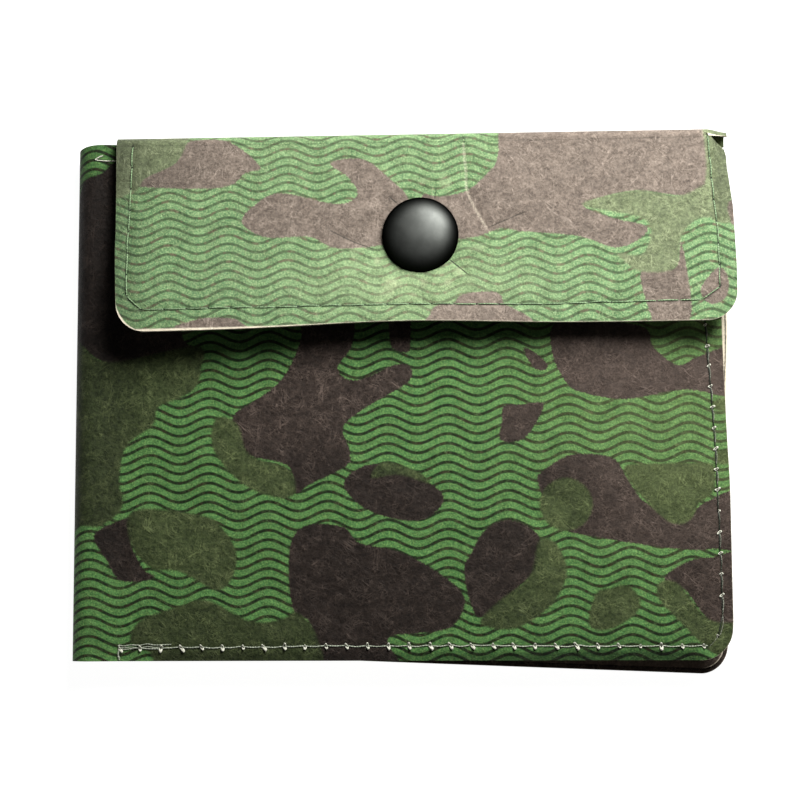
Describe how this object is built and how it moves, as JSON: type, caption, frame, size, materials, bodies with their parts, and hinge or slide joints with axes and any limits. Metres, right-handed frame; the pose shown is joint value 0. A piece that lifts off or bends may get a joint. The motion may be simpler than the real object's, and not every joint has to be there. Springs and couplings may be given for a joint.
{
  "type": "folding wallet",
  "caption": "Folding wallet of printed paper-like sheet: back and front leaf joined by a soft spine, card pockets inside, and an outside coin pocket shut by a snap flap.",
  "frame": {"origin": "centre of the bounding box of the closed wallet, at the level of the back leaf's underside", "axes": "+X from the spine to the leaves' free edge, +Y from the bottom edge to the flap's fold, +Z out of the front through the snap cap"},
  "size_m": [0.1088, 0.0889, 0.0128],
  "materials": {
    "printed_sheet": "matte",
    "plain_sheet": "matte",
    "white_thread": "matte",
    "dark_thread": "matte",
    "black_metal": "satin",
    "snap_steel": "satin"
  },
  "bodies": {
    "back_leaf": {"back_outer_panel": "printed_sheet", "back_lining": "plain_sheet", "back_card_pocket_upper": "plain_sheet", "back_card_pocket_middle": "plain_sheet", "back_card_pocket_lower": "plain_sheet", "back_seam_thread": "dark_thread", "back_pocket_thread": "dark_thread"},
    "spine": {"spine_outer_panel": "printed_sheet", "spine_lining": "plain_sheet"},
    "front_leaf": {"front_outer_panel": "printed_sheet", "coin_pocket_rear_wall": "printed_sheet", "front_lining": "plain_sheet", "front_card_pocket_upper": "plain_sheet", "front_card_pocket_middle": "plain_sheet", "front_card_pocket_lower": "plain_sheet", "front_seam_thread": "white_thread", "top_seam_thread": "white_thread", "front_pocket_thread": "dark_thread", "snap_stud": "snap_steel", "snap_stud_rivet": "snap_steel"},
    "flap_fold": {"flap_fold_strip": "printed_sheet"},
    "flap": {"flap_outer_panel": "printed_sheet", "flap_lining": "plain_sheet", "flap_seam_thread": "dark_thread", "snap_cap": "black_metal", "snap_socket": "snap_steel"}
  },
  "joints": [
    {"name": "spine_back_crease", "type": "hinge", "parent": "back_leaf", "child": "spine", "pos_m": [-0.0539, 0, 0.0003], "axis": [0, -1, 0], "range_deg": [0, 90]},
    {"name": "spine_front_crease", "type": "hinge", "parent": "spine", "child": "front_leaf", "pos_m": [-0.0539, 0, 0.0067], "axis": [0, -1, 0], "range_deg": [0, 90]},
    {"name": "flap_lower_crease", "type": "hinge", "parent": "front_leaf", "child": "flap_fold", "pos_m": [0, 0.0439, 0.0056], "axis": [-1, 0, 0], "range_deg": [0, 90]},
    {"name": "flap_upper_crease", "type": "hinge", "parent": "flap_fold", "child": "flap", "pos_m": [0, 0.0439, 0.0097], "axis": [-1, 0, 0], "range_deg": [0, 90]}
  ],
  "couplings": [
    {"joint": "spine_front_crease", "follows": "spine_back_crease", "ratio": 1},
    {"joint": "flap_lower_crease", "follows": "flap_upper_crease", "ratio": 1}
  ]
}
